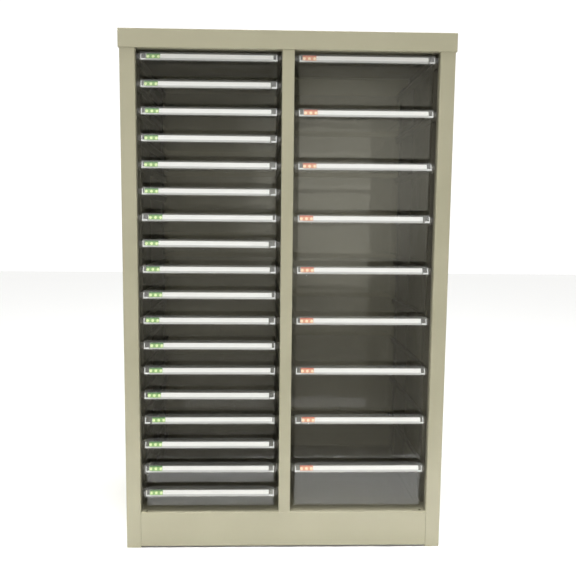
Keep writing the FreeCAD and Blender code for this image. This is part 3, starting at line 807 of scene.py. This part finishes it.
floor_paint = new_finish("floor_paint", Base_Color=FLOOR_PAINT, Roughness=0.8, IOR=1.3)[0]
pale_floor("floor_near", FLOOR_SPLIT, FLOOR_HALF, True)
pale_floor("floor_far", -FLOOR_HALF, FLOOR_SPLIT, False)
print("floor is", 2 * FLOOR_HALF, "m wide")

# %% [markdown]
# ## Light
#
# A white room gives most of the light, so that no shadow is hard. The smoky faces would mirror
# a white room evenly and go grey, so the side of the room that they face is darker, most of all
# from the floor up to eye height. One soft glow nearly straight ahead gives the faces a
# highlight that fades from row to row: it is the dot product of the ray with one direction, put
# through a step. Soft boxes above and at both sides add shape, and a narrow beam from above
# brightens the floor by the kick plate. The box in front sends light through the trays to the
# back panel, and is hidden from mirror rays so that it leaves no bright patch.
# Looked at directly, the room is plain white on every side: the Light Path node tells such rays
# from the ones that light and mirror.

# %% Room and soft boxes
ROOM_WHITE = (1.0, 1.0, 1.0, 1)
ROOM_DARK = (0.2, 0.19, 0.155, 1)
ROOM_FRONT = (0.62, 0.62, 0.61, 1)
ROOM_STRENGTH = 1.1
ROOM_GLOW = (0.85, 0.83, 0.7, 1)
GLOW_TOWARDS = Vector((0.14, -1.0, 0.05)).normalized()
GLOW_EDGE = math.cos(math.radians(12))
GLOW_HEART = math.cos(math.radians(2))
AHEAD_FROM, AHEAD_TO = 0.2, 0.7
LOW_UP_TO, HIGH_FROM = 0.2, 0.55


def soft_room():
    world = bpy.data.worlds.new("room")
    bpy.context.scene.world = world
    world.use_nodes = True
    tree = world.node_tree
    ray = node(tree, "ShaderNodeTexCoord", output=0)
    ahead = 0 - part_of(tree, ray, 1)
    low_down = 1 - part_of(tree, ray, 2).step(LOW_UP_TO, HIGH_FROM)
    facing = between(tree, low_down, ROOM_FRONT, ROOM_DARK)
    room = between(tree, ahead.step(AHEAD_FROM, AHEAD_TO), ROOM_WHITE, facing)
    towards = node(tree, "ShaderNodeVectorMath", {"operation": "DOT_PRODUCT"},
                   {0: ray, 1: GLOW_TOWARDS}, output=1)
    mirrored = between(tree, towards.step(GLOW_EDGE, GLOW_HEART), room, ROOM_GLOW)
    seen = node(tree, "ShaderNodeLightPath", output=0)
    colour = between(tree, seen, mirrored, ROOM_WHITE)
    background = tree.nodes["Background"]
    tree.links.new(colour.output, background.inputs["Color"])
    background.inputs["Strength"].default_value = ROOM_STRENGTH


def soft_box(name, place, target, size, power, spread=180):
    """An area lamp that faces its target. A small spread in degrees makes it a narrow beam."""
    lamp = bpy.data.lights.new(name, "AREA")
    lamp.shape = "RECTANGLE"
    lamp.size, lamp.size_y = size
    lamp.energy = power
    lamp.spread = math.radians(spread)
    box = bpy.data.objects.new(name, lamp)
    box.location = place
    box.rotation_euler = (Vector(target) - Vector(place)).to_track_quat("-Z", "Y").to_euler()
    bpy.context.scene.collection.objects.link(box)
    return box


soft_room()
soft_box("overhead_box", (0.2, 0.2, 2.7), (0, 0, 0), size=(3.0, 2.4), power=26)
# The target is a millimetre off straight down, so that the beam's long side still knows its way.
soft_box("floor_box", (0, -0.38, 1.9), (0, -0.381, 0), size=(1.6, 0.3), power=3, spread=28)
soft_box("left_box", (-1.5, -1.3, 1.0), (0, 0, 0.5), size=(0.8, 0.8), power=2.5)
soft_box("right_box", (1.5, -1.3, 1.0), (0, 0, 0.5), size=(0.8, 0.8), power=0.8)
front_box = soft_box(
    "front_box", (-0.1, -1.9, 0.9), (0.05, 0, 0.55), size=(0.8, 0.5), power=4.5)
front_box.visible_glossy = False
scene = bpy.context.scene
scene.view_settings.view_transform = "Standard"
scene.cycles.use_denoising = True
scene.cycles.transparent_max_bounces = 48
scene.cycles.max_bounces = 10
print("room and", len(bpy.data.lights), "soft boxes")

# %% [markdown]
# ## Camera
#
# The camera stands about a metre in front of the cabinet and a little to the left, at two
# thirds of its height, and looks slightly down. That close, upright edges lean together towards
# the floor, so the lens matters as much as the place: it is a short one. Its axes are worked
# out from three small turns and written straight into its matrix.

# %% Camera
CAMERA_PLACE = Vector((-0.045, -1.202, 0.567))
CAMERA_YAW = math.radians(-1.48)
CAMERA_PITCH = math.radians(5.65)
CAMERA_ROLL = math.radians(0.46)
CAMERA_LENS = 38.56
CAMERA_SENSOR = 36
CAMERA_SHIFT = (0.0215, -0.0052)
CAMERA_NEAREST = 0.02


def place_camera():
    lens = bpy.data.cameras.new("camera")
    lens.lens = CAMERA_LENS
    lens.sensor_width = CAMERA_SENSOR
    lens.shift_x, lens.shift_y = CAMERA_SHIFT
    lens.clip_start = CAMERA_NEAREST
    camera = bpy.data.objects.new("camera", lens)
    turn = Matrix.Rotation(CAMERA_YAW, 4, "Z")
    tip = Matrix.Rotation(math.radians(90) - CAMERA_PITCH, 4, "X")
    roll = Matrix.Rotation(CAMERA_ROLL, 4, "Z")
    camera.matrix_world = Matrix.Translation(CAMERA_PLACE) @ turn @ tip @ roll
    bpy.context.scene.collection.objects.link(camera)
    bpy.context.scene.camera = camera


place_camera()
print("camera is", round(abs(CAMERA_PLACE.y), 2), "m in front")
